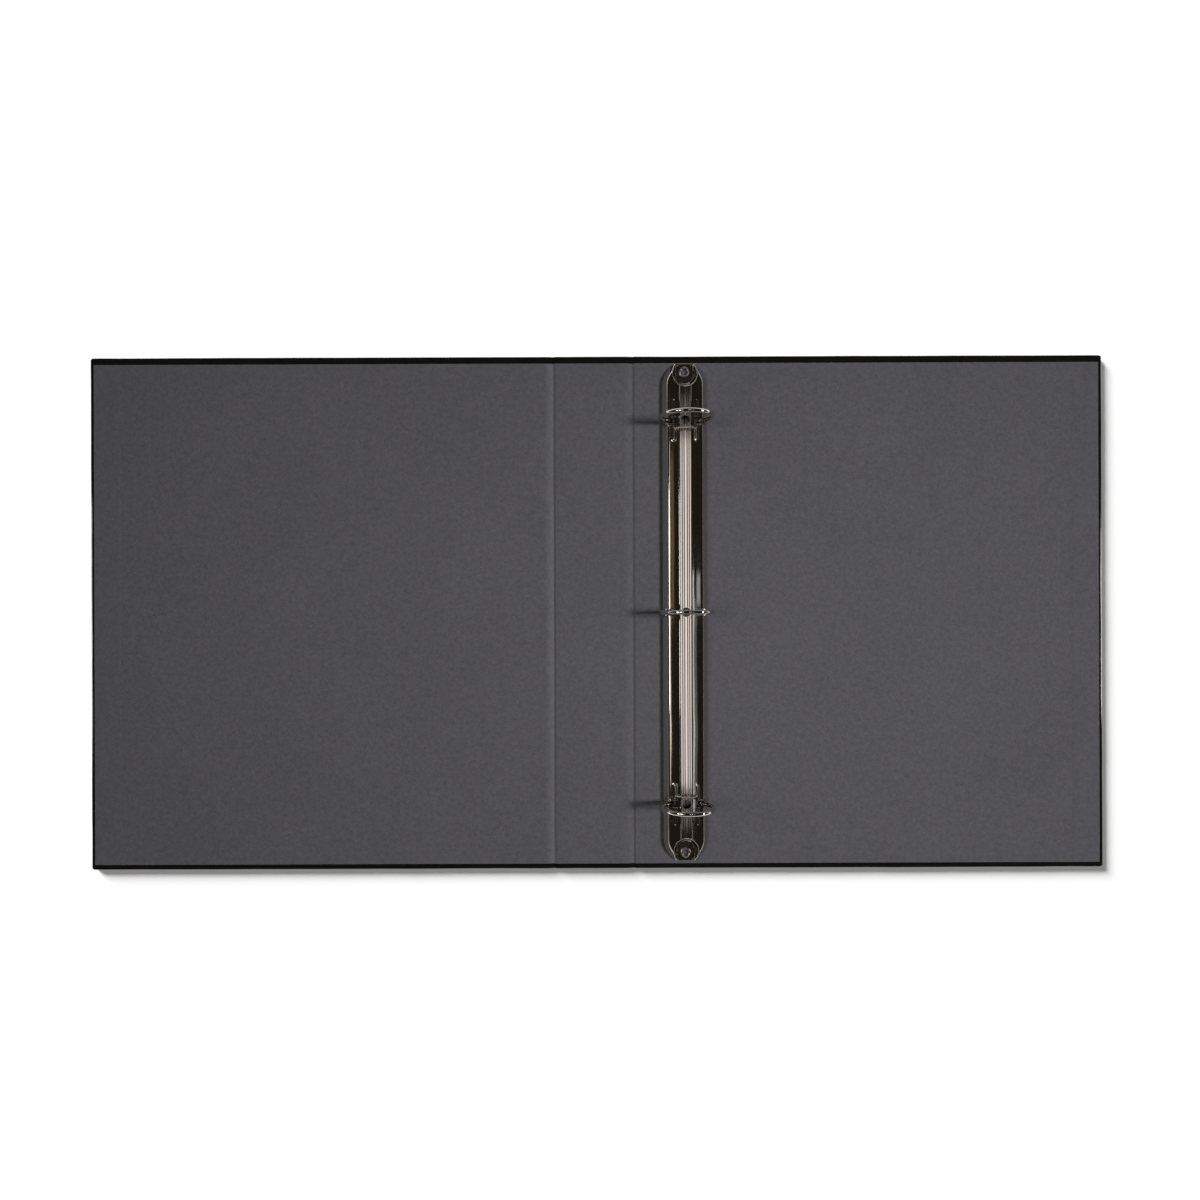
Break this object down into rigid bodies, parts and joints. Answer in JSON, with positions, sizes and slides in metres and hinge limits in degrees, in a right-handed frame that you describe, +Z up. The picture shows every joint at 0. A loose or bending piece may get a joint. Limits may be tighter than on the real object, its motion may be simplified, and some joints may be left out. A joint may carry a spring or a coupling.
{
  "type": "ring binder",
  "caption": "Hard-cover ring binder lying open: wrapped boards hinged at the spine, and an arched metal housing with round rings that spring apart to take punched sheets.",
  "frame": {"origin": "middle of the open case, on the surface that it lies on", "axes": "+X from the front cover to the back cover, +Y from the tail edge to the head edge, +Z up out of the inside of the case"},
  "size_m": [0.5768, 0.2922, 0.0339],
  "materials": {
    "grey_board": "solid grey chipboard, matte",
    "black_wrap": "black laminated paper, glossy",
    "grey_liner": "dark grey uncoated paper with a fine grain",
    "nickel_plate": "bright nickel plate",
    "nickel_rivet": "bright nickel plate",
    "nickel_wire": "bright nickel plate",
    "zinc_steel": "plain rolled steel"
  },
  "bodies": {
    "back_cover": {"back_board": "grey_board", "back_wrap": "black_wrap", "back_liner": "grey_liner", "back_hinge_wrap": "black_wrap", "back_hinge_liner": "grey_liner", "ring_housing": "nickel_plate", "upper_rivet": "nickel_rivet", "lower_rivet": "nickel_rivet"},
    "spine": {"spine_board": "grey_board", "spine_wrap": "black_wrap", "spine_liner": "grey_liner", "front_hinge_wrap": "black_wrap", "front_hinge_liner": "grey_liner"},
    "front_cover": {"front_board": "grey_board", "front_wrap": "black_wrap", "front_liner": "grey_liner"},
    "left_rings": {"left_hinge_plate": "zinc_steel", "upper_left_half_ring": "nickel_wire", "middle_left_half_ring": "nickel_wire", "lower_left_half_ring": "nickel_wire"},
    "right_rings": {"right_hinge_plate": "zinc_steel", "upper_right_half_ring": "nickel_wire", "middle_right_half_ring": "nickel_wire", "lower_right_half_ring": "nickel_wire"}
  },
  "joints": [
    {"name": "spine_fold", "type": "hinge", "parent": "back_cover", "child": "spine", "pos_m": [0.02, 0, 0.0003], "axis": [0, 1, 0], "range_deg": [-90, 90], "deforming": ["back_hinge_wrap", "back_hinge_liner"]},
    {"name": "front_cover_fold", "type": "hinge", "parent": "spine", "child": "front_cover", "pos_m": [-0.0252, 0, 0.0003], "axis": [0, 1, 0], "range_deg": [-90, 90], "deforming": ["front_hinge_wrap", "front_hinge_liner"]},
    {"name": "right_rings_open", "type": "hinge", "parent": "back_cover", "child": "right_rings", "pos_m": [0.06032, 0, 0.0052], "axis": [0, 1, 0], "range_deg": [0, 17]},
    {"name": "left_rings_open", "type": "hinge", "parent": "back_cover", "child": "left_rings", "pos_m": [0.04008, 0, 0.0052], "axis": [0, -1, 0], "range_deg": [0, 17]}
  ],
  "couplings": [
    {"joint": "left_rings_open", "follows": "right_rings_open", "ratio": 1}
  ]
}
